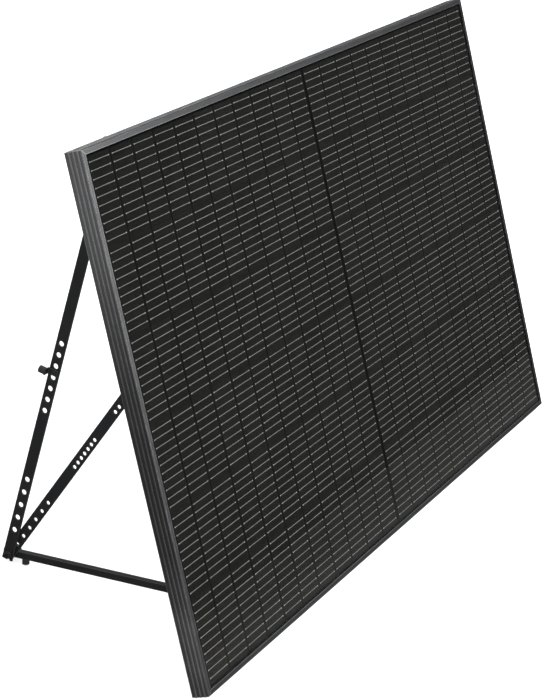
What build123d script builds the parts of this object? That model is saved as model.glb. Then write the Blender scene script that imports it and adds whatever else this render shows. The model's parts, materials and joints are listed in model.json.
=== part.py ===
from build123d import *
from math import atan2, cos, degrees, radians, sin
import os

# A framed solar panel that leans on two folding side stands. Millimetres, +Z up, and the object's
# front faces -Y. The origin lies on the ground, under the middle of the object.
#
# Three directions describe every place on the panel: x runs along its long side, u runs up its
# slope from the lower edge, and w comes out of the rear face of the frame towards the glass.

# ---------------------------------------------------------------- driving dimensions: the panel
panel_length = 2094.0        # along x, over the ribs of the side bars
panel_width = 1134.0         # along u
frame_depth = 40.0           # along w
tilt = 60.0                  # slope of the glass above the ground, degrees

rib_height = 0.8             # three long ribs stand out of every side wall
rib_width = 1.9
wall = 1.8
lip_width = 12.3             # front lip, over the glass
lip_bevel = 1.6
chamber_height = 18.0        # closed box that stiffens the bar, under the laminate
long_flange = 30.0           # rear flange of the two long bars
short_flange = 24.0          # rear flange of the two short bars

key_leg = 48.0               # corner key, each leg
key_clearance = 0.25         # between a key and its chamber

# ---------------------------------------------------------------- driving dimensions: the laminate
glass_thickness = 3.2
film_thickness = 0.45        # each of the two clear films that hold the cells
cell_thickness = 0.2
ribbon_thickness = 0.2
backsheet_thickness = 0.35
seal_gap = 0.4               # sealant over and under the laminate
edge_gap = 2.6               # sealant between the laminate's edge and the wall

cell_columns = 11            # in each half of the panel
cell_rows = 6
end_margin = 21.6            # from the panel's end to the first cell
edge_margin = 18.0           # from the panel's long edge to the first cell
cell_gap = 4.0               # between the columns
row_gap = 0.6                # between the rows
centre_gap = 12.8            # between the two halves
ribbons_per_cell = 10
ribbon_edge = 12.1           # from a cell's edge to its first ribbon
ribbon_width = 1.2
bus_width = 5.0
bus_thickness = 0.2

# ---------------------------------------------------------------- driving dimensions: junction boxes
box_x = 64.0
box_u = 58.0
box_depth = 14.0
box_wall = 2.0
box_corner = 5.0
lid_thickness = 2.0
lid_chamfer = 1.0
box_spacing = 377.0          # between the three boxes, up the slope
diode_size = (14.0, 10.0, 5.0)
gland_diameter = 12.0
gland_length = 15.0
gland_bore = 6.4

# ---------------------------------------------------------------- driving dimensions: the stands
stand_inset = 160.0          # from the panel's end to the outer face of the stand
strut_width = 25.0
strut_thickness = 4.0
brace_width = 24.0
brace_thickness = 4.0
leg_size = 15.0              # square tube
leg_wall = 1.5
layer_gap = 1.6              # between members that pass each other
rail_gap = 19.0              # between the leg and the rail
rail_depth = 26.0
rail_flange = 25.0
rail_wall = 3.0
rail_end_gap = 4.0           # from the rail's end to the frame's edge
ground_clearance = 3.0       # under the rail, whose lower end is cut level

pivot_drop = 14.0            # pivots lie this far behind the frame
leg_pivot_u = 152.0
brace_pivot_u = 664.0
strut_pivot_setback = 69.0   # from the panel's upper edge

# Rows of holes: distance of the first hole, pitch and count. Upper rows are measured from the
# pivot and lower rows from the vertex bolt.
strut_upper_holes = (389.5, 26.2, 7)
strut_lower_holes = (62.8, 31.0, 5)
strut_hole_radius = 6.0
brace_top_holes = (129.0, 15.3, 2)
brace_middle_holes = (229.0, 13.8, 7)
brace_lower_holes = (32.7, 26.4, 6)
brace_hole_radius = 4.5
brace_hole_offset = 1.5      # holes lie this far towards the lower edge

# ---------------------------------------------------------------- driving dimensions: hardware
bolt_radius = 4.0
nut_across = 13.0
nut_height = 6.5
head_height = 5.3
bolt_tail = 0.6              # of a bolt's end, beyond its nut
bolt_clearance = 0.2         # a bolt in a plain hole, on the radius
running_clearance = 0.06     # a pivot in its bearing hole, on the radius
side_clearance = 0.3         # beside a part that moves
slot_clearance = 0.7         # a bolt in an open slot, each side
slot_flare = 5.0             # each side of an open slot opens by this angle
washer_radius = 8.0
washer_thickness = 1.6
thin_washer = 1.0
sleeve_radius = 7.0
socket_head_radius = 5.5
socket_head_height = 6.0
socket_across = 5.0
flat_head_radius = 6.5
flat_head_height = 2.7
foot_radius = 14.5
foot_thickness = 8.0
foot_round = 1.0
leg_overhang = 14.0          # tube beyond the vertex bolt
front_overhang = 10.0        # tube beyond its pivot
bar_end = 11.0               # strut beyond the vertex bolt
cap_thickness = 3.0
cap_plug = 2.5               # of a cap, inside the tube
cap_rim = 0.5

buffer_radius = 8.0
buffer_round = 1.5
buffer_stud = 2.5            # radius
leg_buffer_length = 13.0
leg_stud_length = 4.5
strut_buffer_length = 14.6
leg_buffer_setback = 33.6    # from the vertex bolt
strut_buffer_drop = 456.5    # from the strut's pivot
clip_wall = 2.5
clip_height = 13.6
clip_reach = 17.0
clip_front = 9.0
rivet_radius = 2.0
rivet_head = 1.2

mount_hole_radius = 4.5
mount_hole_inset = 15.0      # from the panel's long edge
mount_hole_x = (200.0, 700.0)
earth_hole_radius = 2.1
earth_hole_setback = 62.0    # from the panel's end
earth_hole_inset = 23.0      # from the panel's long edge

# ---------------------------------------------------------------- places that follow from these
half_length = panel_length / 2
slope = Vector(0, cos(radians(tilt)), sin(radians(tilt)))
front = Vector(0, -sin(radians(tilt)), cos(radians(tilt)))
along = Vector(1, 0, 0)

strut_pivot_u = panel_width - strut_pivot_setback
earth_hole_x = half_length - earth_hole_setback
bolt_hole = bolt_radius + bolt_clearance
bearing = bolt_radius + running_clearance

# The frame stands on the lower edge of its rear face, which the ribs overhang a little. The
# rearmost point is a strut's buffer or the panel's upper edge, and the foremost point is the
# lower edge of the front lip, where its bevel ends.
strut_pivot_reach = strut_pivot_u * slope.Y - pivot_drop * front.Y
buffer_reach = strut_pivot_reach + strut_width / 2 + clip_wall + strut_buffer_length
rear_reach = max(buffer_reach, panel_width * slope.Y)
front_reach = (rib_height + lip_bevel) * slope.Y + frame_depth * front.Y
ground_line = -(rear_reach + front_reach) / 2
panel_sink = rib_height * slope.Z


def panel_point(x, u, w):
    """A point given along the panel, up its slope and out of its rear face."""
    return Vector(x, ground_line, -panel_sink) + slope * u + front * w


def panel_plane(x, u, w):
    """A plane parallel to the glass, its x along the panel and its y up the slope."""
    return Plane(origin=panel_point(x, u, w), x_dir=along, z_dir=front)


def write(part, name):
    part.label = name
    export_step(part, f"parts/{name}.step")


def write_pair(part, name):
    """The left stand's piece and its mirror image for the right stand."""
    write(part, f"left_{name}")
    write(mirror(part, about=Plane.YZ), f"right_{name}")


def block(low_x, low_y, high_x, high_y, mode=Mode.ADD):
    """A rectangle between two corners, inside a sketch."""
    with Locations(((low_x + high_x) / 2, (low_y + high_y) / 2)):
        Rectangle(high_x - low_x, high_y - low_y, mode=mode)


os.makedirs("parts", exist_ok=True)

# ---------------------------------------------------------------- levels of the laminate, along w
slot_top = frame_depth - wall
glass_top = slot_top - seal_gap
glass_bottom = glass_top - glass_thickness
cell_top = glass_bottom - film_thickness
cell_bottom = cell_top - cell_thickness
ribbon_bottom = cell_bottom - ribbon_thickness
film_bottom = ribbon_bottom - film_thickness
backsheet_bottom = film_bottom - backsheet_thickness
slot_bottom = backsheet_bottom - seal_gap
chamber_bottom = slot_bottom - chamber_height

laminate_inset = rib_height + wall + edge_gap
laminate_length = panel_length - 2 * laminate_inset
laminate_width = panel_width - 2 * laminate_inset

# ================================================================= the frame
# Every bar has the same section: a side wall with three ribs, a closed chamber, a slot for the
# laminate, a bevelled front lip and a flat rear flange. In the section, x runs in from the outer
# edge and y runs from the rear face to the front.


def frame_bar(corner, run, inward, length, flange):
    with BuildPart() as bar:
        with BuildSketch(Plane(origin=corner, x_dir=inward, z_dir=run)):
            with BuildLine():
                Polyline(
                    (rib_height, 0),
                    (flange, 0),
                    (flange, wall),
                    (rib_height + wall, wall),
                    (rib_height + wall, chamber_bottom),
                    (lip_width, chamber_bottom),
                    (lip_width, slot_bottom),
                    (rib_height + wall, slot_bottom),
                    (rib_height + wall, slot_top),
                    (lip_width, slot_top),
                    (lip_width, frame_depth),
                    (rib_height + lip_bevel, frame_depth),
                    (rib_height, frame_depth - lip_bevel),
                    close=True,
                )
            make_face()
            block(
                rib_height + wall,
                chamber_bottom + wall,
                lip_width - wall,
                slot_bottom - wall,
                mode=Mode.SUBTRACT,
            )
            for quarter in (1, 2, 3):
                level = frame_depth * quarter / 4
                block(0, level - rib_width / 2, rib_height, level + rib_width / 2)
        extrude(amount=length)
        # Both ends are mitred at 45 degrees.
        split(bisect_by=Plane(origin=corner, z_dir=run - inward), keep=Keep.TOP)
        split(bisect_by=Plane(origin=corner + run * length, z_dir=-run - inward), keep=Keep.TOP)
    return bar.part


def flange_holes(bar, places, radius):
    """Round holes through a rear flange, at (x, u) places."""
    with BuildPart() as drilled:
        add(bar)
        with BuildSketch(panel_plane(0, 0, -1)):
            with Locations(*places):
                Circle(radius)
        extrude(amount=wall + 2, mode=Mode.SUBTRACT)
    return drilled.part


# The stand's layers, counted in from the panel's end.
strut_outer = stand_inset
strut_inner = strut_outer + strut_thickness
brace_outer = strut_inner + layer_gap
brace_inner = brace_outer + brace_thickness
leg_outer = brace_inner + layer_gap
leg_inner = leg_outer + leg_size
rail_outer = leg_inner + rail_gap
rail_inner = rail_outer + rail_wall
rail_bolt_inset = rail_inner + (rail_flange - rail_wall) / 2

for name, u, run, inward in (
    ("frame_bottom", 0, along, slope),
    ("frame_top", panel_width, -along, -slope),
):
    start_x = -half_length if u == 0 else half_length
    long_bar = frame_bar(panel_point(start_x, u, 0), run, inward, panel_length, long_flange)
    hole_u = mount_hole_inset if u == 0 else panel_width - mount_hole_inset
    earth_u = earth_hole_inset if u == 0 else panel_width - earth_hole_inset
    hole_xs = mount_hole_x + (half_length - rail_bolt_inset,)
    mount_places = [(x * side, hole_u) for x in hole_xs for side in (-1, 1)]
    earth_places = [(earth_hole_x * side, earth_u) for side in (-1, 1)]
    long_bar = flange_holes(long_bar, mount_places, mount_hole_radius)
    long_bar = flange_holes(long_bar, earth_places, earth_hole_radius)
    write(long_bar, name)

left_corner = panel_point(-half_length, panel_width, 0)
right_corner = panel_point(half_length, 0, 0)
write(frame_bar(left_corner, -slope, along, panel_width, short_flange), "frame_left")
write(frame_bar(right_corner, slope, -along, panel_width, short_flange), "frame_right")

# Corner keys: an angle pressed into the two chambers that meet at each corner.
key_outer = rib_height + wall + key_clearance
key_inner = lip_width - wall - key_clearance
key_bottom = chamber_bottom + wall + key_clearance
key_top = slot_bottom - wall - key_clearance
with BuildPart() as corner_keys:
    with BuildSketch(panel_plane(-half_length, 0, key_bottom)):
        block(key_outer, key_outer, key_leg, key_inner)
        block(key_outer, key_outer, key_inner, key_leg)
    extrude(amount=key_top - key_bottom)
    mirror(about=Plane(origin=panel_point(0, panel_width / 2, 0), z_dir=slope))
    mirror(about=Plane.YZ)
write(corner_keys.part, "corner_keys")

# ================================================================= the laminate


def sheet(low, high):
    """One full-size layer of the laminate, between two levels."""
    with BuildPart() as layer:
        with BuildSketch(panel_plane(0, panel_width / 2, low)):
            Rectangle(laminate_length, laminate_width)
        extrude(amount=high - low)
    return layer.part


write(sheet(glass_bottom, glass_top), "glass")
write(sheet(cell_top, glass_bottom), "front_film")
write(sheet(film_bottom, ribbon_bottom), "rear_film")
write(sheet(backsheet_bottom, film_bottom), "backsheet")

# Sealant: a channel that wraps the laminate's edge and fills the frame's slot.
with BuildPart() as frame_seal:
    with BuildSketch(panel_plane(0, panel_width / 2, slot_bottom)):
        wall_inset = rib_height + wall
        Rectangle(panel_length - 2 * wall_inset, panel_width - 2 * wall_inset)
        Rectangle(panel_length - 2 * lip_width, panel_width - 2 * lip_width, mode=Mode.SUBTRACT)
    extrude(amount=slot_top - slot_bottom)
    with BuildSketch(panel_plane(0, panel_width / 2, backsheet_bottom)):
        Rectangle(laminate_length, laminate_width)
    extrude(amount=glass_top - backsheet_bottom, mode=Mode.SUBTRACT)
write(frame_seal.part, "frame_seal")

# Half cells fill two fields, one each side of the centre gap. Their short side lies along x.
field_length = half_length - end_margin - centre_gap / 2
field_width = panel_width - 2 * edge_margin
field_centre = (centre_gap + field_length) / 2
cell_pitch_x = (field_length + cell_gap) / cell_columns
cell_pitch_u = (field_width + row_gap) / cell_rows
cell_short = cell_pitch_x - cell_gap
cell_long = cell_pitch_u - row_gap
ribbon_pitch = (cell_long - 2 * ribbon_edge) / (ribbons_per_cell - 1)

for name, side in (("cells_left", -1), ("cells_right", 1)):
    with BuildPart() as cells:
        with BuildSketch(panel_plane(side * field_centre, panel_width / 2, cell_bottom)):
            with GridLocations(cell_pitch_x, cell_pitch_u, cell_columns, cell_rows):
                Rectangle(cell_short, cell_long)
        extrude(amount=cell_thickness)
    write(cells.part, name)

# Tab ribbons run the length of a field, under the cells, ten to a row.
with BuildPart() as tab_ribbons:
    for side in (-1, 1):
        with BuildSketch(panel_plane(side * field_centre, panel_width / 2, ribbon_bottom)):
            with GridLocations(0, cell_pitch_u, 1, cell_rows):
                with GridLocations(0, ribbon_pitch, 1, ribbons_per_cell):
                    Rectangle(field_length, ribbon_width)
        extrude(amount=ribbon_thickness)
write(tab_ribbons.part, "tab_ribbons")

# Bus bars cross the ribbons at both ends of each field.
bus_places = [
    side * (field_centre + end * (field_length + bus_width) / 2) for side in (-1, 1) for end in (-1, 1)
]
with BuildPart() as bus_bars:
    with BuildSketch(panel_plane(0, panel_width / 2, ribbon_bottom)):
        with Locations(*[(x, 0) for x in bus_places]):
            Rectangle(bus_width, field_width)
    extrude(amount=bus_thickness)
write(bus_bars.part, "bus_bars")

# ================================================================= junction boxes on the backsheet
box_top = backsheet_bottom
box_bottom = box_top - box_depth
lid_bottom = box_bottom - lid_thickness
box_levels = {"lower": -box_spacing, "middle": 0, "upper": box_spacing}

for name, offset in box_levels.items():
    box_u_centre = panel_width / 2 + offset
    with BuildPart() as junction_box:
        with BuildSketch(panel_plane(0, box_u_centre, box_bottom)):
            RectangleRounded(box_x, box_u, box_corner)
        extrude(amount=box_depth)
        with BuildSketch(panel_plane(0, box_u_centre, box_bottom)):
            RectangleRounded(box_x - 2 * box_wall, box_u - 2 * box_wall, box_corner - box_wall)
        extrude(amount=box_depth - box_wall, mode=Mode.SUBTRACT)
    write(junction_box.part, f"junction_box_{name}")

    with BuildPart() as box_lid:
        with BuildSketch(panel_plane(0, box_u_centre, lid_bottom)):
            RectangleRounded(box_x, box_u, box_corner)
        extrude(amount=lid_thickness)
        rear_face = box_lid.faces().sort_by(Axis((0, 0, 0), front))[0]
        chamfer(rear_face.edges(), length=lid_chamfer)
    write(box_lid.part, f"box_lid_{name}")

# One bypass diode on the floor of each box.
box_floor = box_top - box_wall
with BuildPart() as bypass_diodes:
    with BuildSketch(panel_plane(0, panel_width / 2, box_floor - diode_size[2])):
        with GridLocations(0, box_spacing, 1, 3):
            Rectangle(diode_size[0], diode_size[1])
    extrude(amount=diode_size[2])
write(bypass_diodes.part, "bypass_diodes")

# The lower and upper boxes each have one cable gland in their end wall.
gland_w = box_bottom + box_depth / 2
with BuildPart() as cable_glands:
    for offset in (-box_spacing, box_spacing):
        mouth = panel_point(-box_x / 2 - gland_length, panel_width / 2 + offset, gland_w)
        with BuildSketch(Plane(origin=mouth, x_dir=slope, z_dir=along)):
            Circle(gland_diameter / 2)
            Circle(gland_bore / 2, mode=Mode.SUBTRACT)
        extrude(amount=gland_length)
write(cable_glands.part, "cable_glands")

# ================================================================= the stands
# The left stand is drawn, and the right one is its mirror image. Its members lie in planes of
# constant x, side by side, so that each can swing flat behind the panel past the others.
# The upright strut, the brace and the leg meet at the vertex bolt, which the brace carries.
leg_pivot = panel_point(0, leg_pivot_u, -pivot_drop)
brace_pivot = panel_point(0, brace_pivot_u, -pivot_drop)
strut_pivot = panel_point(0, strut_pivot_u, -pivot_drop)
vertex = Vector(0, strut_pivot.Y, foot_radius)

strut_line = vertex - strut_pivot
brace_line = vertex - brace_pivot
leg_line = vertex - leg_pivot


def heading(line):
    return degrees(atan2(line.Z, line.Y))


# How far each member turns to lie flat along the rail, in degrees.
fold_strut = heading(strut_line) - heading(-slope)
fold_brace = heading(brace_line) - heading(-slope)
fold_leg = heading(slope) - heading(leg_line)


def tip_velocity(line, rate):
    """Velocity of a member's tip that turns about +X at this rate."""
    return Vector(0, -line.Z * rate, line.Y * rate)


# The vertex bolt leaves the strut and the leg along these directions as the stand starts to fold.
bolt_velocity = tip_velocity(brace_line, -fold_brace)
leave_strut = (bolt_velocity - tip_velocity(strut_line, -fold_strut)).normalized()
leave_leg = (bolt_velocity - tip_velocity(leg_line, fold_leg)).normalized()


def stand_x(inset):
    """x of a layer of the left stand."""
    return inset - half_length


def member_plane(inset, start, line):
    """A member's side plane: x along the member from start, and y towards its rear or upper edge."""
    origin = Vector(stand_x(inset), start.Y, start.Z)
    return Plane(origin=origin, x_dir=line.normalized(), z_dir=along)


def cross_plane(inset, centre):
    """A plane across the stand for bolts, washers and sleeves, its x to the rear."""
    return Plane(origin=(stand_x(inset), centre.Y, centre.Z), x_dir=(0, 1, 0), z_dir=along)


def open_slot(reach):
    """A slot that opens away from the bolt along x and flares on both sides."""
    half = bolt_radius + slot_clearance
    mouth = half + reach * sin(radians(slot_flare))
    Circle(half)
    Polygon((0, -half), (reach, -mouth), (reach, mouth), (0, half), align=None)


def hole_row(row, offset, from_end=0):
    """Places of a row's holes along a member. A lower row counts back from the member's end."""
    first, pitch, count = row
    distances = [first + pitch * index for index in range(count)]
    return [(from_end - d if from_end else d, offset) for d in distances]


# Rail: an angle bolted across the back, from the lower to the upper long bar. Its web carries the
# three pivots, and its flange lies on the rear flanges of the frame.
with BuildPart() as rail:
    rail_length = panel_width - 2 * rail_end_gap
    corner = panel_point(stand_x(rail_outer), rail_end_gap, 0)
    with BuildSketch(Plane(origin=corner, x_dir=along, z_dir=-slope)):
        # In this section x runs inwards from the web and y runs towards the glass.
        block(0, -rail_depth, rail_wall, 0)
        block(0, -rail_wall, rail_flange, 0)
    extrude(amount=-rail_length)
    for pivot in (leg_pivot, brace_pivot, strut_pivot):
        with BuildSketch(cross_plane(rail_outer, pivot)):
            Circle(bolt_hole)
        extrude(amount=rail_wall, mode=Mode.SUBTRACT)
    rail_bolt_x = stand_x(rail_bolt_inset)
    with BuildSketch(panel_plane(rail_bolt_x, panel_width / 2, -rail_wall)):
        with GridLocations(0, panel_width - 2 * mount_hole_inset, 1, 2):
            Circle(bolt_hole)
    extrude(amount=rail_wall, mode=Mode.SUBTRACT)
    split(bisect_by=Plane(origin=(0, 0, ground_clearance)), keep=Keep.TOP)
write_pair(rail.part, "rail")


def hexagon(across):
    RegularPolygon(radius=across / 2, side_count=6, major_radius=False)


# Bolts that hold the rail to the frame, heads at the rear.
rail_bolt_grip = rail_wall + wall
with BuildPart() as rail_bolts:
    with BuildSketch(panel_plane(rail_bolt_x, panel_width / 2, -rail_wall - head_height)):
        with GridLocations(0, panel_width - 2 * mount_hole_inset, 1, 2):
            hexagon(nut_across)
    extrude(amount=head_height)
    with BuildSketch(panel_plane(rail_bolt_x, panel_width / 2, -rail_wall)):
        with GridLocations(0, panel_width - 2 * mount_hole_inset, 1, 2):
            Circle(bolt_radius)
    extrude(amount=rail_bolt_grip + nut_height + bolt_tail)
    mirror(about=Plane.YZ)
write(rail_bolts.part, "rail_bolts")

with BuildPart() as rail_nuts:
    with BuildSketch(panel_plane(rail_bolt_x, panel_width / 2, wall)):
        with GridLocations(0, panel_width - 2 * mount_hole_inset, 1, 2):
            hexagon(nut_across)
            Circle(bolt_radius, mode=Mode.SUBTRACT)
    extrude(amount=nut_height)
    mirror(about=Plane.YZ)
write(rail_nuts.part, "rail_nuts")

# Strut: an upright flat bar with two rows of holes. Its lower end is forked over the vertex bolt.
strut_length = strut_line.length
with BuildPart() as strut:
    with BuildSketch(member_plane(strut_outer, strut_pivot, strut_line)):
        Circle(strut_width / 2)
        block(0, -strut_width / 2, strut_length + bar_end, strut_width / 2)
        with Locations((0, 0)):
            Circle(bearing, mode=Mode.SUBTRACT)
        places = hole_row(strut_upper_holes, 0) + hole_row(strut_lower_holes, 0, strut_length)
        with Locations(*places):
            Circle(strut_hole_radius, mode=Mode.SUBTRACT)
        with Locations((strut_buffer_drop, 0)):
            Circle(rivet_radius, mode=Mode.SUBTRACT)
    extrude(amount=strut_thickness)
    with BuildSketch(member_plane(strut_outer, vertex, leave_strut)):
        open_slot(2 * bar_end)
    extrude(amount=strut_thickness, mode=Mode.SUBTRACT)
write_pair(strut.part, "strut")

# Brace: a flat bar with three rows of holes near its lower edge. The pivot's head is sunk in its
# outer face, so that the strut can pass over it.
brace_length = brace_line.length
counterbore_depth = flat_head_height - layer_gap + 2 * side_clearance
with BuildPart() as brace:
    with BuildSketch(member_plane(brace_outer, brace_pivot, brace_line)):
        with Locations((brace_length / 2, 0)):
            SlotCenterToCenter(brace_length, brace_width)
        with Locations((0, 0)):
            Circle(bearing, mode=Mode.SUBTRACT)
        with Locations((brace_length, 0)):
            Circle(bolt_hole, mode=Mode.SUBTRACT)
        for row, end in (
            (brace_top_holes, 0),
            (brace_middle_holes, 0),
            (brace_lower_holes, brace_length),
        ):
            with Locations(*hole_row(row, -brace_hole_offset, end)):
                Circle(brace_hole_radius, mode=Mode.SUBTRACT)
    extrude(amount=brace_thickness)
    with BuildSketch(member_plane(brace_outer, brace_pivot, brace_line)):
        Circle(flat_head_radius + side_clearance)
    extrude(amount=counterbore_depth, mode=Mode.SUBTRACT)
write_pair(brace.part, "brace")

# Leg: a square tube. A slot at its rear end drops over the vertex bolt, and the head of its pivot
# sits inside, where a key reaches it through the outer wall.
leg_length = leg_line.length
inside = leg_size / 2 - leg_wall
with BuildPart() as leg:
    with BuildSketch(member_plane(leg_outer, leg_pivot, leg_line)):
        block(-front_overhang, -leg_size / 2, leg_length + leg_overhang, leg_size / 2)
    extrude(amount=leg_size)
    with BuildSketch(member_plane(leg_outer + leg_wall, leg_pivot, leg_line)):
        block(-front_overhang, -inside, leg_length + leg_overhang, inside)
    extrude(amount=leg_size - 2 * leg_wall, mode=Mode.SUBTRACT)
    with BuildSketch(cross_plane(leg_outer, leg_pivot)):
        Circle(socket_head_radius + side_clearance)
    extrude(amount=leg_wall, mode=Mode.SUBTRACT)
    with BuildSketch(cross_plane(leg_inner - leg_wall, leg_pivot)):
        Circle(bearing)
    extrude(amount=leg_wall, mode=Mode.SUBTRACT)
    with BuildSketch(member_plane(leg_outer, vertex, leave_leg)):
        open_slot(2 * leg_size)
    extrude(amount=leg_size, mode=Mode.SUBTRACT)
    buffer_centre = vertex - leg_line.normalized() * leg_buffer_setback
    under = Vector(0, leg_line.Z, -leg_line.Y).normalized()
    stud_start = buffer_centre + under * inside + along * stand_x((leg_outer + leg_inner) / 2)
    with BuildSketch(Plane(origin=stud_start, x_dir=along, z_dir=under)):
        Circle(buffer_stud)
    extrude(amount=leg_wall, mode=Mode.SUBTRACT)
write_pair(leg.part, "leg")

# Plastic caps close both ends of the leg.
with BuildPart() as leg_caps:
    for end, outward in ((leg_length + leg_overhang, 1), (-front_overhang, -1)):
        with BuildSketch(member_plane(leg_outer - cap_rim, leg_pivot, leg_line)):
            rim = leg_size / 2 + cap_rim
            low, high = sorted((end, end + outward * cap_thickness))
            block(low, -rim, high, rim)
        extrude(amount=leg_size + 2 * cap_rim)
        with BuildSketch(member_plane(leg_outer + leg_wall, leg_pivot, leg_line)):
            low, high = sorted((end, end - outward * cap_plug))
            block(low, -inside, high, inside)
        extrude(amount=leg_size - 2 * leg_wall)
write_pair(leg_caps.part, "leg_caps")


def rubber_buffer(seat, outward, length, stud_length):
    """A round buffer on its stud: seat is the middle of its base, outward is the way it points."""
    with BuildPart() as buffer:
        with BuildSketch(Plane(origin=seat, x_dir=along, z_dir=outward)):
            Circle(buffer_radius)
        extrude(amount=length)
        tip = buffer.faces().sort_by(Axis((0, 0, 0), outward))[-1]
        fillet(tip.edges(), radius=buffer_round)
        with BuildSketch(Plane(origin=seat, x_dir=along, z_dir=outward)):
            Circle(buffer_stud)
        extrude(amount=-stud_length)
    return buffer.part


leg_middle = along * stand_x((leg_outer + leg_inner) / 2)
leg_buffer_seat = buffer_centre + under * (leg_size / 2) + leg_middle
leg_buffer = rubber_buffer(leg_buffer_seat, under, leg_buffer_length, leg_stud_length)
write_pair(leg_buffer, "leg_buffer")

# Clip: a small angle riveted to the outer face of the strut. It holds a buffer that points back.
rear = Vector(0, 1, 0)
clip_centre = strut_pivot + strut_line.normalized() * strut_buffer_drop
clip_outer = strut_outer - clip_wall
buffer_inset = clip_outer - clip_reach / 2 + clip_wall / 2
with BuildPart() as clip:
    with BuildSketch(Plane(origin=clip_centre - Vector(0, 0, clip_height / 2))):
        block(stand_x(clip_outer), -clip_front, stand_x(strut_outer), strut_width / 2 + clip_wall)
        block(
            stand_x(clip_outer - clip_reach + clip_wall),
            strut_width / 2,
            stand_x(strut_outer),
            strut_width / 2 + clip_wall,
        )
    extrude(amount=clip_height)
    with BuildSketch(cross_plane(clip_outer, clip_centre)):
        Circle(rivet_radius)
    extrude(amount=clip_wall, mode=Mode.SUBTRACT)
    stud_hole = clip_centre + rear * (strut_width / 2) + along * stand_x(buffer_inset)
    with BuildSketch(Plane(origin=stud_hole, x_dir=along, z_dir=rear)):
        Circle(buffer_stud)
    extrude(amount=clip_wall, mode=Mode.SUBTRACT)
write_pair(clip.part, "buffer_clip")

strut_buffer_seat = clip_centre + rear * (strut_width / 2 + clip_wall) + along * stand_x(buffer_inset)
strut_buffer = rubber_buffer(strut_buffer_seat, rear, strut_buffer_length, clip_wall)
write_pair(strut_buffer, "strut_buffer")

with BuildPart() as clip_rivet:
    with BuildSketch(cross_plane(clip_outer - rivet_head, clip_centre)):
        Circle(2 * rivet_radius)
    extrude(amount=rivet_head)
    with BuildSketch(cross_plane(clip_outer, clip_centre)):
        Circle(rivet_radius)
    extrude(amount=clip_wall + strut_thickness)
write_pair(clip_rivet.part, "clip_rivet")

# ---------------------------------------------------------------- pivots on the rail
# Each pivot is a bolt through the rail's web with a sleeve that holds its member at its layer.
nut_end = rail_inner + nut_height + bolt_tail


def through_bolt(centre, head_inset, head_depth, head_shape):
    """A bolt from its head, at head_inset, to past the nut on the rail's web."""
    with BuildPart() as bolt:
        with BuildSketch(cross_plane(head_inset, centre)):
            head_shape()
        extrude(amount=head_depth)
        with BuildSketch(cross_plane(head_inset + head_depth, centre)):
            Circle(bolt_radius)
        extrude(amount=nut_end - head_inset - head_depth)
    return bolt.part


def both_sides(part):
    """One node that holds the left stand's piece and the right stand's."""
    with BuildPart() as pair:
        add(part)
        mirror(about=Plane.YZ)
    return pair.part


strut_head_inset = strut_outer - side_clearance - head_height
strut_bolt = through_bolt(strut_pivot, strut_head_inset, head_height, lambda: hexagon(nut_across))
write(both_sides(strut_bolt), "strut_pivot_bolts")

brace_head_inset = brace_outer + counterbore_depth - side_clearance - flat_head_height
brace_bolt = through_bolt(
    brace_pivot, brace_head_inset, flat_head_height, lambda: Circle(flat_head_radius)
)
write(both_sides(brace_bolt), "brace_pivot_bolts")

leg_head_inset = leg_inner - leg_wall - side_clearance - socket_head_height
leg_bolt = through_bolt(
    leg_pivot, leg_head_inset, socket_head_height, lambda: Circle(socket_head_radius)
)
with BuildPart() as socket_bolt:
    add(leg_bolt)
    with BuildSketch(cross_plane(leg_head_inset, leg_pivot)):
        hexagon(socket_across)
    extrude(amount=socket_head_height / 2, mode=Mode.SUBTRACT)
write(both_sides(socket_bolt.part), "leg_pivot_bolts")

with BuildPart() as pivot_nuts:
    for pivot in (leg_pivot, brace_pivot, strut_pivot):
        with BuildSketch(cross_plane(rail_inner, pivot)):
            hexagon(nut_across)
            Circle(bolt_radius, mode=Mode.SUBTRACT)
        extrude(amount=nut_height)
write(both_sides(pivot_nuts.part), "pivot_nuts")

for name, pivot, member_inner in (
    ("strut_sleeves", strut_pivot, strut_inner),
    ("brace_sleeves", brace_pivot, brace_inner),
    ("leg_sleeves", leg_pivot, leg_inner),
):
    with BuildPart() as sleeve:
        with BuildSketch(cross_plane(member_inner + side_clearance, pivot)):
            Circle(sleeve_radius)
            Circle(bolt_hole, mode=Mode.SUBTRACT)
        extrude(amount=rail_outer - member_inner - side_clearance)
    write(both_sides(sleeve.part), name)

# ---------------------------------------------------------------- hardware at the vertex
# The brace carries it: bolt head and washer outside the strut, thin washers between the members,
# and inside the leg a round rubber foot, a washer and the nut.
head_washer_inset = strut_outer - side_clearance - washer_thickness
foot_inset = leg_inner + side_clearance + thin_washer
nut_washer_inset = foot_inset + foot_thickness
vertex_nut_inset = nut_washer_inset + washer_thickness
vertex_bolt_end = vertex_nut_inset + nut_height + bolt_tail

with BuildPart() as vertex_bolt:
    with BuildSketch(cross_plane(head_washer_inset - head_height, vertex)):
        hexagon(nut_across)
    extrude(amount=head_height)
    with BuildSketch(cross_plane(head_washer_inset, vertex)):
        Circle(bolt_radius)
    extrude(amount=vertex_bolt_end - head_washer_inset)
write_pair(vertex_bolt.part, "vertex_bolt")

with BuildPart() as vertex_washers:
    for inset, thickness in (
        (head_washer_inset, washer_thickness),
        (brace_outer - thin_washer, thin_washer),
        (brace_inner, thin_washer),
        (leg_inner + side_clearance, thin_washer),
        (nut_washer_inset, washer_thickness),
    ):
        with BuildSketch(cross_plane(inset, vertex)):
            Circle(washer_radius)
            Circle(bolt_hole, mode=Mode.SUBTRACT)
        extrude(amount=thickness)
write_pair(vertex_washers.part, "vertex_washers")

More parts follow.
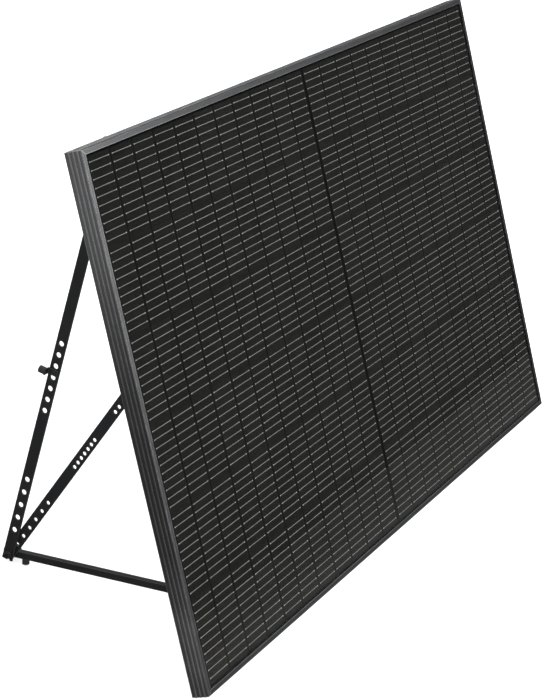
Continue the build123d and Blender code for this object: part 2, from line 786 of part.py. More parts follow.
with BuildPart() as vertex_foot:
    with BuildSketch(cross_plane(foot_inset, vertex)):
        Circle(foot_radius)
        Circle(bolt_hole, mode=Mode.SUBTRACT)
    extrude(amount=foot_thickness)
    fillet(vertex_foot.edges().filter_by(GeomType.CIRCLE).sort_by(SortBy.RADIUS)[-2:], radius=foot_round)
write_pair(vertex_foot.part, "vertex_foot")

with BuildPart() as vertex_nut:
    with BuildSketch(cross_plane(vertex_nut_inset, vertex)):
        hexagon(nut_across)
        Circle(bolt_radius, mode=Mode.SUBTRACT)
    extrude(amount=nut_height)
write_pair(vertex_nut.part, "vertex_nut")

print("A solar panel on two folding stands, sloping at", tilt, "degrees.")
print("Folding turns the braces", round(fold_brace, 2), "the struts", round(fold_strut, 2))
print("and the legs", round(fold_leg, 2), "degrees. The panel's lower edge is at y", round(ground_line, 2))
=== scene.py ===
# %% [markdown]
# A solar panel on two folding stands.
#
# The metal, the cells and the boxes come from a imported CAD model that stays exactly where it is.
# This lesson gives each of them a finish, adds the few pieces that only the eye needs, and lights
# the whole for a camera. Lengths are in metres, the panel's long side lies along X, its glass
# looks towards -Y, and the ground is at Z = 0.

# %% Load the model
import json
from math import atan2, cos, pi, radians, sin
import bpy
from mathutils import Euler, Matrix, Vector


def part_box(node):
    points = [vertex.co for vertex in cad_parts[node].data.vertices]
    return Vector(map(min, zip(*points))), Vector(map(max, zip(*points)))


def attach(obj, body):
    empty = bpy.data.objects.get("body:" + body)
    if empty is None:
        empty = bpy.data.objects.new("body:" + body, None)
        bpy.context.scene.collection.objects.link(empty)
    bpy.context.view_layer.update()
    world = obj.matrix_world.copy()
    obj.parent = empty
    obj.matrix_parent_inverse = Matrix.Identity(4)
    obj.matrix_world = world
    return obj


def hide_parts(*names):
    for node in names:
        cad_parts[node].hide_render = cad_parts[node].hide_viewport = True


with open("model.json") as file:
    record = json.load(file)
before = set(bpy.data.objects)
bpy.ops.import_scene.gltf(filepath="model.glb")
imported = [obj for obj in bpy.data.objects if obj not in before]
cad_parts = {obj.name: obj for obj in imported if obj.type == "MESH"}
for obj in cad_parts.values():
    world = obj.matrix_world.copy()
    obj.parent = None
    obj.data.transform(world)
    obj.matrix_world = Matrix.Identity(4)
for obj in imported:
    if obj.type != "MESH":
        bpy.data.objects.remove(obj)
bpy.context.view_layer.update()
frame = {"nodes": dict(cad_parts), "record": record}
nodes = frame["nodes"]

# %% [markdown]
# The panel leans back, so most measures are easier along the panel than along the world's axes.
# Three directions do that: along its long side, up its slope, and straight out of the glass.
# The slope is read from the record: the rear face of the frame is a mount with a known axis.

# %% Directions on the panel
mm = 0.001
mounts = {mount["name"]: mount for mount in frame["record"]["mounts"]}
outward = -Vector(mounts["left_rear_face"]["axis"]).normalized()
along = Vector((1, 0, 0))
slope = outward.cross(along)


def middle(node):
    """The middle of a CAD node's box."""
    low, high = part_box(node)
    return (low + high) / 2


def on_panel(centre, x, u, w):
    """A point that lies x along the panel, u up its slope and w out of it from a centre."""
    return centre + along * x + slope * u + outward * w


def span_up(node, thickness):
    """How far a flat node reaches up the slope."""
    low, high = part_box(node)
    return ((high - low).z - thickness * outward.z) / slope.z


print("slope", tuple(round(v, 3) for v in slope), "outward", tuple(round(v, 3) for v in outward))

# %% [markdown]
# Every finish here is built from shader nodes, which takes a lot of repeated wiring. Four small
# helpers keep it short: one starts a material, one adds a node with its settings and links, one
# turns a value into a colour, and one mixes two colours. A node's sockets are asked for by name,
# or by number (_0, _1) where several share a name, as in a Math node.

# %% Helpers for shader nodes


def start_material(name, **values):
    """A material with one Principled shader, whose plain values are set on its own sockets."""
    material = bpy.data.materials.new(name)
    material.use_nodes = True
    shader = material.node_tree.nodes["Principled BSDF"]
    for socket, value in values.items():
        shader.inputs[socket.replace("_", " ")].default_value = value
    return material, material.node_tree, shader


def add_node(tree, kind, settings=None, **inputs):
    """Adds a node. An input is a plain value, or another node's socket to link from."""
    node = tree.nodes.new(kind)
    for key, value in (settings or {}).items():
        setattr(node, key, value)
    for key, value in inputs.items():
        label = int(key[1:]) if key[1:].isdigit() else key.replace("_", " ")
        socket = node.inputs[label]
        if isinstance(value, bpy.types.NodeSocket):
            tree.links.new(value, socket)
        else:
            socket.default_value = value
    return node


def ramp(tree, source, stops):
    """A colour ramp of (position, colour) stops, driven by a value."""
    node = add_node(tree, "ShaderNodeValToRGB", Fac=source)
    elements = node.color_ramp.elements
    while len(elements) < len(stops):
        elements.new(0.5)
    for element, (position, colour) in zip(elements, stops):
        element.position = position
        element.color = (*colour, 1)
    return node.outputs["Color"]


def mix_colours(tree, factor, first, second, blend_type="MIX"):
    """The colour between two others. Each is a plain colour or a socket to link from."""
    node = add_node(
        tree, "ShaderNodeMix", {"data_type": "RGBA", "blend_type": blend_type}, Factor=factor
    )
    # A Mix node keeps a pair of sockets for each kind of data, and these three are for colours.
    colour_sockets = (6, 7)
    colour_result = 2
    for number, colour in zip(colour_sockets, (first, second)):
        if isinstance(colour, bpy.types.NodeSocket):
            tree.links.new(colour, node.inputs[number])
        else:
            node.inputs[number].default_value = (*colour, 1)
    return node.outputs[colour_result]


def grey(value):
    return (value, value, value)


# %% [markdown]
# Real metal and plastic are never even. A fine grain catches the light, and edges are a little
# brighter: on most parts because hands and tools have rubbed them, on the frame as a painted
# highlight along each edge and rib. Both effects are used by several finishes, so each is a node
# group, made once, with its own inputs.
#
# The grain comes first. It is noise of two sizes, given as a height for a bump and as a shade
# for colour and roughness.

# %% Shared effect: fine grain


def start_group(name, inputs, outputs):
    """A node group with named number inputs and outputs."""
    group = bpy.data.node_groups.new(name, "ShaderNodeTree")
    for label, kind, default in inputs:
        socket = group.interface.new_socket(label, in_out="INPUT", socket_type=kind)
        if default is not None:
            socket.default_value = default
    for label, kind in outputs:
        group.interface.new_socket(label, in_out="OUTPUT", socket_type=kind)
    start = group.nodes.new("NodeGroupInput")
    end = group.nodes.new("NodeGroupOutput")
    return group, start, end


FLOAT = "NodeSocketFloat"
VECTOR = "NodeSocketVector"

grain_group, start, end = start_group(
    "fine grain",
    [("Vector", VECTOR, None), ("Scale", FLOAT, 400.0), ("Contrast", FLOAT, 0.5)],
    [("Height", FLOAT), ("Shade", FLOAT)],
)
fine = add_node(
    grain_group,
    "ShaderNodeTexNoise",
    Vector=start.outputs["Vector"],
    Scale=start.outputs["Scale"],
    Detail=3.0,
)
broad_scale = add_node(
    grain_group, "ShaderNodeMath", {"operation": "MULTIPLY"}, _0=start.outputs["Scale"], _1=0.03
)
broad = add_node(
    grain_group,
    "ShaderNodeTexNoise",
    Vector=start.outputs["Vector"],
    Scale=broad_scale.outputs[0],
    Detail=4.0,
)
summed = add_node(
    grain_group,
    "ShaderNodeMath",
    {"operation": "ADD"},
    _0=fine.outputs["Fac"],
    _1=broad.outputs["Fac"],
)
centred = add_node(
    grain_group, "ShaderNodeMath", {"operation": "SUBTRACT"}, _0=summed.outputs[0], _1=1.0
)
shade = add_node(
    grain_group,
    "ShaderNodeMath",
    {"operation": "MULTIPLY_ADD"},
    _0=centred.outputs[0],
    _1=start.outputs["Contrast"],
    _2=0.5,
)
grain_group.links.new(fine.outputs["Fac"], end.inputs["Height"])
grain_group.links.new(shade.outputs[0], end.inputs["Shade"])
print("node group:", grain_group.name)

# %% [markdown]
# Hands, tools and packing rub an edge first. The mask for that compares the surface's own normal
# with one that a Bevel node has rounded over: where the two differ, there is an edge. Noise
# breaks the mask into patches, because no edge is rubbed evenly. On the black frame the same mask
# also paints a bright highlight along every edge and rib, in place of light caught there.

# %% Shared effect: rubbed edges and painted edge highlights
# The edge mask: rubbed wear on most finishes, a painted highlight along the frame's edges and
# ribs.
edge_group, start, end = start_group(
    "rubbed edges and painted highlights",
    [("Vector", VECTOR, None), ("Radius", FLOAT, 0.0008), ("Strength", FLOAT, 4.0)],
    [("Mask", FLOAT)],
)
rounded = add_node(edge_group, "ShaderNodeBevel", {"samples": 4}, Radius=start.outputs["Radius"])
surface = add_node(edge_group, "ShaderNodeNewGeometry")
likeness = add_node(
    edge_group,
    "ShaderNodeVectorMath",
    {"operation": "DOT_PRODUCT"},
    _0=rounded.outputs["Normal"],
    _1=surface.outputs["Normal"],
)
turned = add_node(
    edge_group,
    "ShaderNodeMath",
    {"operation": "SUBTRACT"},
    _0=1.0,
    _1=likeness.outputs["Value"],
)
patches = add_node(
    edge_group, "ShaderNodeTexNoise", Vector=start.outputs["Vector"], Scale=90.0, Detail=3.0
)
uneven = add_node(
    edge_group,
    "ShaderNodeMath",
    {"operation": "MULTIPLY"},
    _0=turned.outputs[0],
    _1=patches.outputs["Fac"],
)
mask = add_node(
    edge_group,
    "ShaderNodeMath",
    {"operation": "MULTIPLY", "use_clamp": True},
    _0=uneven.outputs[0],
    _1=start.outputs["Strength"],
)
edge_group.links.new(mask.outputs[0], end.inputs["Mask"])


def place_group(tree, group, **inputs):
    return add_node(tree, "ShaderNodeGroup", {"node_tree": group}, **inputs)


print("node group:", edge_group.name)

# %% [markdown]
# Most finishes on this object are one recipe with different values: a dark base whose colour
# drifts a little, lighter edges (rubbed wear, and on the frame a painted highlight), roughness
# that follows the grain, and a shallow bump. A function holds the recipe. The grain can be
# stretched, which turns it into the drawing lines that an extrusion die leaves along a bar.

# %% One recipe for coated metal, plastic and rubber
# Width of the edge mask: rubbed wear on most finishes, a painted highlight on the frame.
edge_wear_and_highlight_width = 1.6 * mm


def coated(
    name,
    dark,
    light,
    edge,
    roughness,
    grain=400.0,
    bump=0.1,
    depth=0.2 * mm,
    stretch=None,
    **values,
):
    """A material: colour between dark and light, turning to edge along edges (rubbed wear, and a
    painted highlight on the frame), rough between two values.
    """
    material, tree, shader = start_material(name, **values)
    place = add_node(tree, "ShaderNodeTexCoord").outputs["Object"]
    if stretch:
        turn, shares = stretch
        place = add_node(
            tree, "ShaderNodeMapping", Vector=place, Rotation=turn, Scale=shares
        ).outputs["Vector"]
    texture = place_group(tree, grain_group, Vector=place, Scale=grain, Contrast=0.9)
    edges = place_group(tree, edge_group, Vector=place, Radius=edge_wear_and_highlight_width, Strength=12.0)
    body = ramp(tree, texture.outputs["Shade"], [(0.25, dark), (0.75, light)])
    # Edges turn to the edge colour: rubbed wear, and on the frame a painted highlight.
    colour = mix_colours(tree, edges.outputs["Mask"], body, edge)
    tree.links.new(colour, shader.inputs["Base Color"])
    gloss = add_node(
        tree,
        "ShaderNodeMapRange",
        Value=texture.outputs["Shade"],
        To_Min=roughness[0],
        To_Max=roughness[1],
    )
    tree.links.new(gloss.outputs["Result"], shader.inputs["Roughness"])
    relief = add_node(
        tree, "ShaderNodeBump", Height=texture.outputs["Height"], Strength=bump, Distance=depth
    )
    tree.links.new(relief.outputs["Normal"], shader.inputs["Normal"])
    return material


def wear(material, *names):
    """Gives CAD nodes their finish."""
    for name in names:
        nodes[name].data.materials.clear()
        nodes[name].data.materials.append(material)


def both(*names):
    """The names of a stand's nodes, on the left and on the right."""
    return [f"{side}_{name}" for name in names for side in ("left", "right")]


# %% [markdown]
# The frame is black anodised aluminium, drawn through a die. The oxide layer is thin and clear
# over the metal, so it mirrors softly, and the die leaves faint lines along each bar. Its
# near-white edge colour is a painted highlight along every edge and rib of the bars. The lines
# follow the bar, so the long bars and the short bars need the same finish turned two ways. The
# corner keys inside the bars are left bare.

# %% Black anodised frame
along_bar = 0.02
up_slope = (-atan2(slope.z, slope.y), 0, 0)
anodised = dict(
    dark=(0.150, 0.151, 0.155),
    light=(0.185, 0.186, 0.191),
    # The edge colour is a painted highlight on the frame's edges and ribs.
    edge=(0.95, 0.95, 0.96),
    roughness=(0.30, 0.42),
    grain=900.0,
    bump=0.06,
    depth=0.1 * mm,
    Metallic=1.0,
)
long_bar_finish = coated("anodised long bar", stretch=((0, 0, 0), (along_bar, 1, 1)), **anodised)
short_bar_finish = coated("anodised short bar", stretch=(up_slope, (1, along_bar, 1)), **anodised)
wear(long_bar_finish, "frame_bottom", "frame_top")
wear(short_bar_finish, "frame_left", "frame_right")
key_finish = coated(
    "bare pressed aluminium", grey(0.5), grey(0.62), grey(0.7), (0.3, 0.5), Metallic=1.0
)
wear(key_finish, "corner_keys")
print("frame finished")

# %% [markdown]
# The stands and their rails are flat bar, tube and angle with a black powder coat. Baked powder
# has an orange-peel surface: tiny rounded bumps, satin rather than shiny. The bolts, nuts,
# washers and sleeves are blackened steel, smoother and with some metal showing through.

# %% Powder coat and dark hardware
powder = coated(
    "black powder coat",
    (0.009, 0.0095, 0.0105),
    (0.013, 0.0136, 0.0150),
    (0.07, 0.07, 0.074),
    (0.42, 0.56),
    grain=700.0,
    bump=0.25,
    depth=0.3 * mm,
    Specular_IOR_Level=0.3,
)
wear(powder, *both("rail", "strut", "brace", "leg", "buffer_clip"))
black_oxide = coated(
    "black oxide steel",
    (0.020, 0.020, 0.022),
    (0.045, 0.044, 0.044),
    (0.22, 0.22, 0.22),
    (0.30, 0.46),
    grain=600.0,
    bump=0.12,
    Metallic=0.8,
)
wear(black_oxide, "rail_bolts", "rail_nuts", "strut_pivot_bolts", "brace_pivot_bolts")
wear(black_oxide, "leg_pivot_bolts", "pivot_nuts", "strut_sleeves", "brace_sleeves", "leg_sleeves")
wear(black_oxide, *both("clip_rivet", "vertex_bolt", "vertex_washers", "vertex_nut"))
print("stands finished")

# %% [markdown]
# The feet and the buffers are rubber, dull and a little dusty. The boxes, their lids, the glands
# and the caps are moulded plastic with a spark-eroded texture. Sealant fills the frame's slot.

# %% Rubber and moulded plastic
rubber = coated(
    "dull rubber",
    grey(0.012),
    (0.022, 0.021, 0.020),
    (0.035, 0.034, 0.033),
    (0.7, 0.9),
    grain=500.0,
    bump=0.2,
)
wear(rubber, *both("leg_buffer", "strut_buffer", "vertex_foot"))
moulded = coated(
    "moulded black plastic",
    (0.016, 0.016, 0.017),
    (0.024, 0.024, 0.025),
    grey(0.05),
    (0.38, 0.55),
    grain=1100.0,
    bump=0.3,
)
levels = ("lower", "middle", "upper")
boxes = [f"{part}_{level}" for part in ("junction_box", "box_lid") for level in levels]
wear(moulded, *boxes, *both("leg_caps"), "bypass_diodes", "cable_glands")
sealant = coated(
    "black sealant", grey(0.010), grey(0.016), grey(0.02), (0.5, 0.7), grain=300.0
)
wear(sealant, "frame_seal")
print("rubber, plastic and sealant finished")

# %% [markdown]
# A half cell is a slice of silicon with a dark blue-black coating and very fine silver fingers.
# The fingers run across the ribbons, about one and a half millimetres apart, too fine to see from
# a few metres: there they only lift the tone. Each cell is its own island of the mesh, so the
# Random Per Island value gives every cell a slightly different shade, as sorted cells still have.

# %% Silicon cells
finger_pitch = 1.5 * mm
finger_core = 0.02 * mm
finger_rim = 0.07 * mm
silicon, tree, shader = start_material(
    "silicon half cell", Roughness=0.6, Specular_IOR_Level=0.0
)
place = add_node(tree, "ShaderNodeTexCoord").outputs["Object"]
split = add_node(tree, "ShaderNodeSeparateXYZ", Vector=place)
step = add_node(
    tree, "ShaderNodeMath", {"operation": "PINGPONG"}, _0=split.outputs["X"], _1=finger_pitch / 2
)
finger = add_node(
    tree,
    "ShaderNodeMapRange",
    Value=step.outputs[0],
    From_Min=finger_core,
    From_Max=finger_rim,
    To_Min=1.0,
    To_Max=0.0,
)
island = add_node(tree, "ShaderNodeNewGeometry").outputs["Random Per Island"]
cell_tone = ramp(
    tree,
    island,
    [
        (0.0, (0.0057, 0.0055, 0.0046)),
        (0.5, (0.0067, 0.0063, 0.0052)),
        (1.0, (0.0078, 0.0073, 0.0064)),
    ],
)
mottle = place_group(tree, grain_group, Vector=place, Scale=180.0, Contrast=0.6)
mottle_tone = ramp(tree, mottle.outputs["Shade"], [(0.2, grey(0.75)), (0.8, grey(1.3))])
mottled = mix_colours(tree, 0.5, cell_tone, mottle_tone, "MULTIPLY")
with_fingers = mix_colours(tree, finger.outputs["Result"], mottled, (0.035, 0.034, 0.032))
tree.links.new(with_fingers, shader.inputs["Base Color"])
wear(silicon, "cells_left", "cells_right")
print("cells finished")

# %% [markdown]
# Under the cells, ribbons carry the current to the bus bars at the ends of each field. On an
# all-black panel they are lacquered black, and so is all that shows in the gaps between cells.
# The near-black tone is that lacquer, and along the frame's lip it is also painted shade, where
# the lip shades the margin. They lie under the glass, so they have no gloss of their own.

# %% Lacquered ribbons and bus bars, with painted shade along the lip
# Near-black colour: black lacquer, and painted shade of the frame's lip on the margin.
lacquer_and_painted_shade = coated(
    "black lacquer and painted shade",
    (0.0010, 0.0009, 0.0008),
    (0.0018, 0.0016, 0.0014),
    grey(0.002),
    (0.4, 0.6),
    Specular_IOR_Level=0.0,
)
wear(lacquer_and_painted_shade, "tab_ribbons", "bus_bars")
print("ribbons finished")

# %% [markdown]
# The bright dashes on the glass side are the flat copper wires that gather the current, tinned
# with solder. Each crosses one half cell and ends in a small solder pad just inside its edge.
# They are real metal on top of the silicon, so they are modelled. First comes the shape of one
# wire. A crowned section, higher in the middle, makes it catch the light along its length as a
# drawn wire does, and the pads are small round discs.

# %% The shape of one wire
wire_width = 1.0 * mm
wire_height = 0.14 * mm
crown = 0.7
pad_radius = 1.45 * mm
pad_height = 0.18 * mm
pad_sides = 8


def wire_mesh(length):
    """Points, faces and the number of the bar's own faces, about the wire's middle."""
    half, side = length / 2, wire_width / 2
    profile = [
        (-side, 0),
        (-side * crown, wire_height),
        (side * crown, wire_height),
        (side, 0),
    ]
    points = [(end * half, u, w) for end in (-1, 1) for u, w in profile]
    faces = [(0, 1, 5, 4), (1, 2, 6, 5), (2, 3, 7, 6), (3, 0, 4, 7), (3, 2, 1, 0), (4, 5, 6, 7)]
    bar_faces = len(faces)
    for end in (-1, 1):
        first = len(points)
        for level in (0, pad_height):
            for corner in range(pad_sides):
                turn = 2 * pi * corner / pad_sides
                points.append((end * half + pad_radius * cos(turn), pad_radius * sin(turn), level))
        raised = first + pad_sides
        faces.append(tuple(raised - 1 - corner for corner in range(pad_sides)))
        faces.append(tuple(raised + corner for corner in range(pad_sides)))
        for corner in range(pad_sides):
            after = (corner + 1) % pad_sides
            faces.append((first + corner, first + after, raised + after, raised + corner))
    return points, faces, bar_faces


def make_piece(name, points, faces, finish, body="panel"):
    """A mesh piece that wears a finish and rides on a body."""
    mesh = bpy.data.meshes.new(name)
    mesh.from_pydata([tuple(point) for point in points], [], faces)
    mesh.update()
    mesh.materials.append(finish)
    piece = bpy.data.objects.new(name, mesh)
    bpy.context.scene.collection.objects.link(piece)
    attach(piece, body)
    return piece


print("wire", wire_width / mm, "mm wide, pads", 2 * pad_radius / mm, "mm across")

# %% [markdown]
# The wire is then repeated, ten to a cell. The places come from the boxes of the two CAD fields,
# so the wires stay on the cells whatever the size of the panel. The copies go into one mesh,
# because thousands of separate objects would be slow. Two materials share that mesh: solder
# pads are rounder than the wire, and their lighter colour is a painted highlight at each wire's
# end.

# %% Wires on the front of the cells
columns, rows, wires = 11, 6, 10
cell_gap = 4.0 * mm
row_gap = 0.6 * mm
cell_thickness = 0.2 * mm
wire_edge = 12.1 * mm
wire_end = 6.0 * mm
tinned = coated(
    "tinned wire",
    (0.13, 0.13, 0.118),
    (0.18, 0.18, 0.165),
    (0.30, 0.30, 0.28),
    (0.4, 0.55),
    grain=800.0,
    Specular_IOR_Level=0.1,
)
points, faces = [], []
for field in ("cells_left", "cells_right"):
    low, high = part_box(field)
    field_middle = (low + high) / 2
    field_x = high.x - low.x
    field_u = span_up(field, cell_thickness)
    pitch_x = (field_x + cell_gap) / columns
    pitch_u = (field_u + row_gap) / rows
    wire_pitch = (pitch_u - row_gap - 2 * wire_edge) / (wires - 1)
    wire_points, wire_faces, bar_faces = wire_mesh(pitch_x - cell_gap - 2 * wire_end)
    for column in range(columns):
        x = (column - (columns - 1) / 2) * pitch_x
        for row in range(rows):
            for wire in range(wires):
                row_middle = (row - (rows - 1) / 2) * pitch_u
                u = row_middle + (wire - (wires - 1) / 2) * wire_pitch
                first = len(points)
                points += [
                    on_panel(field_middle, x + px, u + pu, cell_thickness / 2 + pw)
                    for px, pu, pw in wire_points
                ]
                faces += [tuple(first + index for index in face) for face in wire_faces]
# The pads' lighter colour is real solder with a painted highlight at each wire's end.
solder = coated(
    "solder pad with painted highlight",
    (0.24, 0.24, 0.22),
    (0.31, 0.31, 0.285),
    (0.45, 0.45, 0.42),
    (0.35, 0.5),
    grain=800.0,
    Specular_IOR_Level=0.1,
)
front_wires = make_piece("front_wires", points, faces, tinned)
front_wires.data.materials.append(solder)
for face in front_wires.data.polygons:
    if face.index % len(wire_faces) >= bar_faces:
        face.material_index = 1
print(2 * columns * rows * wires, "wires,", len(faces), "faces")

# %% [markdown]
# The cover glass and the clear film under it are bonded into one optical body, so one pane stands
# for both, with its edges ground to a small chamfer. It starts just above the solder pads, so
# that no two surfaces share a place.

# %% The shape of the cover glass
pane_gap = 0.05 * mm
edge_chamfer = 0.8 * mm
glass_thickness = 3.2 * mm
film_thickness = 0.45 * mm


def chamfered_sheet(centre, x_size, u_size, low, high, chamfer):
    """Points and faces of a flat sheet between two levels, its top edge chamfered."""
    points, faces = [], []
    for inset, level in ((0, low), (0, high - chamfer), (chamfer, high)):
        for sx, su in ((-1, -1), (1, -1), (1, 1), (-1, 1)):
            x, u = sx * (x_size / 2 - inset), su * (u_size / 2 - inset)
            points.append(on_panel(centre, x, u, level))
    faces.append((3, 2, 1, 0))
    faces.append((8, 9, 10, 11))
    for ring in (0, 4):
        for corner in range(4):
            after = (corner + 1) % 4
            faces.append((ring + corner, ring + after, ring + 4 + after, ring + 4 + corner))
    return points, faces


low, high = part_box("glass")
pane_x = high.x - low.x
pane_u = span_up("glass", glass_thickness)
print("pane", round(pane_x, 4), "by", round(pane_u, 4))

# %% [markdown]
# Solar glass is nearly colourless, with a coating that cuts reflection and a faintly uneven
# rolled surface. The shader mixes in plain transparency for shadow and diffuse rays only, so
# that lamps light the cells behind it without the noise of focused light, while the eye still
# meets real glass.

# %% Cover glass
solar_glass, tree, shader = start_material(
    "solar glass",
    Transmission_Weight=1.0,
    IOR=1.30,
    Specular_IOR_Level=0.12,
    Roughness=0.0,
)
shader.inputs["Base Color"].default_value = (0.97, 0.985, 0.975, 1)
place = add_node(tree, "ShaderNodeTexCoord").outputs["Object"]
rolled = place_group(tree, grain_group, Vector=place, Scale=60.0, Contrast=0.8)
relief = add_node(
    tree, "ShaderNodeBump", Height=rolled.outputs["Height"], Strength=0.03, Distance=0.1 * mm
)
tree.links.new(relief.outputs["Normal"], shader.inputs["Normal"])
path = add_node(tree, "ShaderNodeLightPath")
from_inside = add_node(
    tree,
    "ShaderNodeMath",
    {"operation": "MAXIMUM"},
    _0=path.outputs["Is Shadow Ray"],
    _1=path.outputs["Is Diffuse Ray"],
)
clear = add_node(tree, "ShaderNodeBsdfTransparent")
clear.inputs["Color"].default_value = (0.94, 0.95, 0.945, 1)
for_lamps = add_node(tree, "ShaderNodeMixShader", Fac=from_inside.outputs[0])
tree.links.new(shader.outputs["BSDF"], for_lamps.inputs[1])
tree.links.new(clear.outputs["BSDF"], for_lamps.inputs[2])
tree.links.new(for_lamps.outputs["Shader"], tree.nodes["Material Output"].inputs["Surface"])

points, faces = chamfered_sheet(
    middle("glass"),
    pane_x,
    pane_u,
    -glass_thickness / 2 - film_thickness + pad_height + pane_gap,
    glass_thickness / 2,
    edge_chamfer,
)
pane = make_piece("cover_glass", points, faces, solar_glass)
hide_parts("glass", "front_film")
print("cover glass in place")

# %% [markdown]
# Behind the cells lie a second film and a black polymer sheet, laminated together. The sheet is
# soft when it is pressed, so the ribbons print through it as faint ridges. They are too shallow
# to be worth modelling, and a bump across the slope draws them.

# %% Black backsheet
ridge_reach = 1.5 * mm
grain_share = 0.4
backsheet_finish, tree, shader = start_material("black backsheet")
place = add_node(tree, "ShaderNodeTexCoord").outputs["Object"]
turned = add_node(tree, "ShaderNodeMapping", Vector=place, Rotation=up_slope)
split = add_node(tree, "ShaderNodeSeparateXYZ", Vector=turned.outputs["Vector"])
ridge = add_node(
    tree, "ShaderNodeMath", {"operation": "PINGPONG"}, _0=split.outputs["Y"], _1=wire_pitch / 2
)
ridge_height = add_node(
    tree,
    "ShaderNodeMapRange",
    {"interpolation_type": "SMOOTHSTEP"},
    Value=ridge.outputs[0],
    From_Min=0.0,
    From_Max=ridge_reach,
    To_Min=1.0,
    To_Max=0.0,
)
texture = place_group(tree, grain_group, Vector=place, Scale=500.0, Contrast=0.9)
relief_sum = add_node(
    tree,
    "ShaderNodeMath",
    {"operation": "MULTIPLY_ADD"},
    _0=texture.outputs["Height"],
    _1=grain_share,
    _2=ridge_height.outputs["Result"],
)
relief = add_node(
    tree, "ShaderNodeBump", Height=relief_sum.outputs[0], Strength=0.35, Distance=0.3 * mm
)
tree.links.new(relief.outputs["Normal"], shader.inputs["Normal"])
tone = ramp(
    tree,
    texture.outputs["Shade"],
    [(0.2, (0.017, 0.0165, 0.016)), (0.8, (0.025, 0.0245, 0.024))],
)
tree.links.new(tone, shader.inputs["Base Color"])
gloss = add_node(
    tree, "ShaderNodeMapRange", Value=texture.outputs["Shade"], To_Min=0.42, To_Max=0.6
)
tree.links.new(gloss.outputs["Result"], shader.inputs["Roughness"])
print("backsheet finished")

# %% [markdown]
# The film and the sheet become one piece, as the glass and its film did. Its face towards the
# cells is what shows in the gaps between them, so that face alone is lacquered black, darker than
# the sheet's back; next to the frame's lip that near-black also paints the lip's shade.

# %% Back laminate
backsheet_thickness = 0.35 * mm
towards_glass = 0.5
points, faces = chamfered_sheet(
    middle("backsheet"),
    pane_x,
    pane_u,
    -backsheet_thickness / 2,
    backsheet_thickness / 2 + film_thickness,
    0.0,
)
sheet = make_piece("back_laminate", points, faces, backsheet_finish)
# The face towards the glass is near black: black lacquer, and painted shade next to the frame's
# lip.
sheet.data.materials.append(lacquer_and_painted_shade)
for face in sheet.data.polygons:
    if face.normal.dot(outward) > towards_glass:
        face.material_index = 1
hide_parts("backsheet", "rear_film")
print("back laminate in place")

# %% [markdown]
# The floor and the surroundings are plain and pale, as in a studio with a white sweep. A glossy
# object also mirrors its studio, and a pure white one would wash out black metal. Studios hang
# dark flags for that. Here the floor and the sky answer mirror rays with a darker tone, by the
# Light Path node, and stay white to the eye.

# %% Floor and sky
floor_size = 120.0


def mirror_ray(tree):
    """One for a ray that a surface mirrored or that came out through the glass."""
    path = add_node(tree, "ShaderNodeLightPath")
    either = add_node(
        tree,
        "ShaderNodeMath",
        {"operation": "MAXIMUM"},
        _0=path.outputs["Is Glossy Ray"],
        _1=path.outputs["Is Transmission Ray"],
    )
    return either.outputs[0]


floor_material, tree, shader = start_material("pale floor", Roughness=0.9)
place = add_node(tree, "ShaderNodeTexCoord").outputs["Object"]
speckle = place_group(tree, grain_group, Vector=place, Scale=40.0, Contrast=0.3)
tone = ramp(tree, speckle.outputs["Shade"], [(0.2, grey(0.90)), (0.8, grey(0.92))])
flagged = mix_colours(tree, mirror_ray(tree), tone, grey(0.03))
tree.links.new(flagged, shader.inputs["Base Color"])
bpy.ops.mesh.primitive_plane_add(size=floor_size)
floor = bpy.context.object
floor.name = "floor"
floor.data.materials.append(floor_material)

world = bpy.context.scene.world or bpy.data.worlds.new("studio")
bpy.context.scene.world = world
world.use_nodes = True
tree = world.node_tree
sky = tree.nodes["Background"]
sky.inputs["Strength"].default_value = 1.0
path = add_node(tree, "ShaderNodeLightPath")
mirrored = mix_colours(tree, mirror_ray(tree), (0.55, 0.55, 0.56), (0.035, 0.037, 0.042))
seen = mix_colours(tree, path.outputs["Is Camera Ray"], mirrored, grey(1))
tree.links.new(seen, sky.inputs["Color"])
print("studio ready")

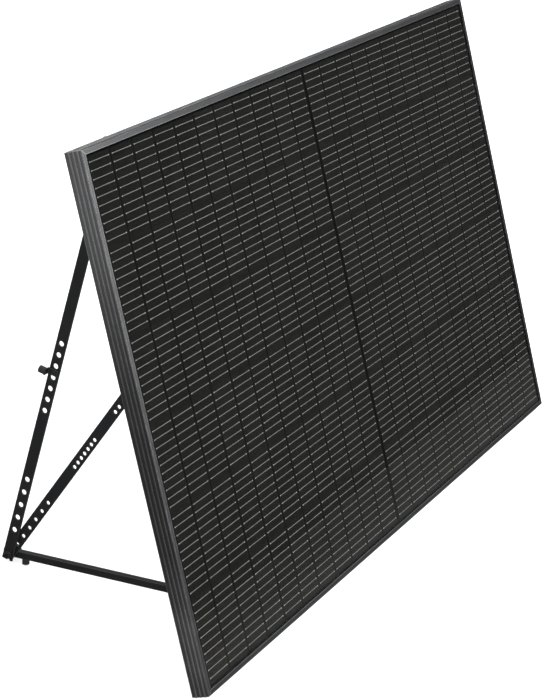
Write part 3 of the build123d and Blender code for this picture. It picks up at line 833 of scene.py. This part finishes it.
# %% [markdown]
# Two large softboxes in front give the frame's lip and the wires their light. A weak one at the
# side draws the long ribs of the frame, and a small low one brightens the corner nearest to the
# camera. Another softbox behind shows the rear of the panel. A shadowless overhead fill keeps
# the white floor even, out to the far edge of the view.

# %% Lights


def softbox(name, position, target, size, power):
    """A square area light that looks at a point."""
    light = bpy.data.lights.new(name, "AREA")
    light.shape = "RECTANGLE"
    light.size, light.size_y = size
    light.energy = power
    lamp = bpy.data.objects.new(name, light)
    bpy.context.scene.collection.objects.link(lamp)
    lamp.location = position
    lamp.visible_camera = False
    direction = Vector(target) - Vector(position)
    lamp.rotation_euler = direction.to_track_quat("-Z", "Y").to_euler()


softbox("front softbox", (-1.5, -5.5, 4.0), (0, 0, 0.5), (3.0, 3.0), 260)
softbox("edge softbox", (2.5, -3.6, 3.0), (0, 0, 0.5), (1.6, 1.6), 100)
softbox("side strip", (-2.5, 0.70, 0.55), (-1.05, 0.15, 0.50), (0.4, 0.7), 1.35)
softbox("low strip", (-1.4, -0.26, 0.03), (-1.05, -0.3, 0.0), (0.08, 0.08), 0.28)
softbox("rear softbox", (1.2, 5.0, 2.4), (0, 0, 0.5), (3.0, 3.0), 170)
fill = bpy.data.lights.new("overhead fill", "SUN")
fill.energy = 3.2
fill.angle = radians(60)
fill.use_shadow = False
bpy.context.scene.collection.objects.link(bpy.data.objects.new("overhead fill", fill))
print(len(bpy.data.lights), "lights")

# %% [markdown]
# The camera stands to the left of the panel, a little above it, with a long lens that keeps the
# long edges nearly parallel. It is rolled, so that the panel climbs across the picture.

# %% Camera
camera_data = bpy.data.cameras.new("camera")
camera_data.lens = 126.733
camera_data.clip_end = 500.0
camera = bpy.data.objects.new("camera", camera_data)
bpy.context.scene.collection.objects.link(camera)
camera.location = (-5.13126, -1.63302, 2.61151)
camera.rotation_euler = Euler((radians(66.1531), radians(-14.8968), radians(-64.5327)))
bpy.context.scene.camera = camera

# The standard view transform keeps the white of the studio white.
bpy.context.scene.view_settings.view_transform = "Standard"
print("camera at", tuple(round(v, 2) for v in camera.location))
